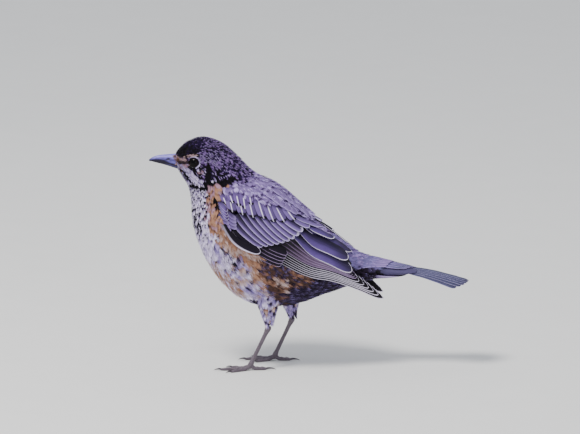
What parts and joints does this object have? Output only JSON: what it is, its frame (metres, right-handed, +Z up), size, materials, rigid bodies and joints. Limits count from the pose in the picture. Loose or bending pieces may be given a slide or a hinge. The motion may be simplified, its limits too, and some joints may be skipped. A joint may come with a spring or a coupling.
{
  "type": "american robin, young bird",
  "caption": "Standing young thrush with a spotted breast, folded wings, slim bill and bare shanks: a life-size still animal model.",
  "frame": {"origin": "on the floor, under the middle of the length from bill tip to tail tip, in the bird's plane of symmetry", "axes": "-X is the way the bird faces, -Y its left side, +Z up"},
  "size_m": [0.2246, 0.065, 0.164],
  "materials": {
    "dark_plumage": "soft, blackish-brown head feathers with fine pale flecks",
    "grey_plumage": "soft, grey-brown back feathers with pale shaft streaks",
    "pale_plumage": "soft, white and orange-buff underside feathers with dark spots",
    "flight_feathers": "smooth, dark grey-brown vanes with pale edges",
    "horn": "satin horn",
    "eye": "wet gloss, near black",
    "leg_skin": "scaled skin, dull"
  },
  "bodies": {
    "root": {"head": "dark_plumage", "neck": "dark_plumage", "trunk": "grey_plumage", "rump": "grey_plumage", "tail": "flight_feathers", "upper_bill": "horn", "lower_bill": "horn", "left_eye": "eye", "left_wing_coverts": "grey_plumage", "left_wing_secondaries": "flight_feathers", "left_wing_primaries": "flight_feathers", "left_thigh": "pale_plumage", "left_shank": "leg_skin", "left_foot": "leg_skin", "left_claw_inner": "horn", "left_claw_middle": "horn", "left_claw_outer": "horn", "left_claw_hind": "horn", "right_eye": "eye", "right_wing_coverts": "grey_plumage", "right_wing_secondaries": "flight_feathers", "right_wing_primaries": "flight_feathers", "right_thigh": "pale_plumage", "right_shank": "leg_skin", "right_foot": "leg_skin", "right_claw_inner": "horn", "right_claw_middle": "horn", "right_claw_outer": "horn", "right_claw_hind": "horn"}
  },
  "joints": []
}
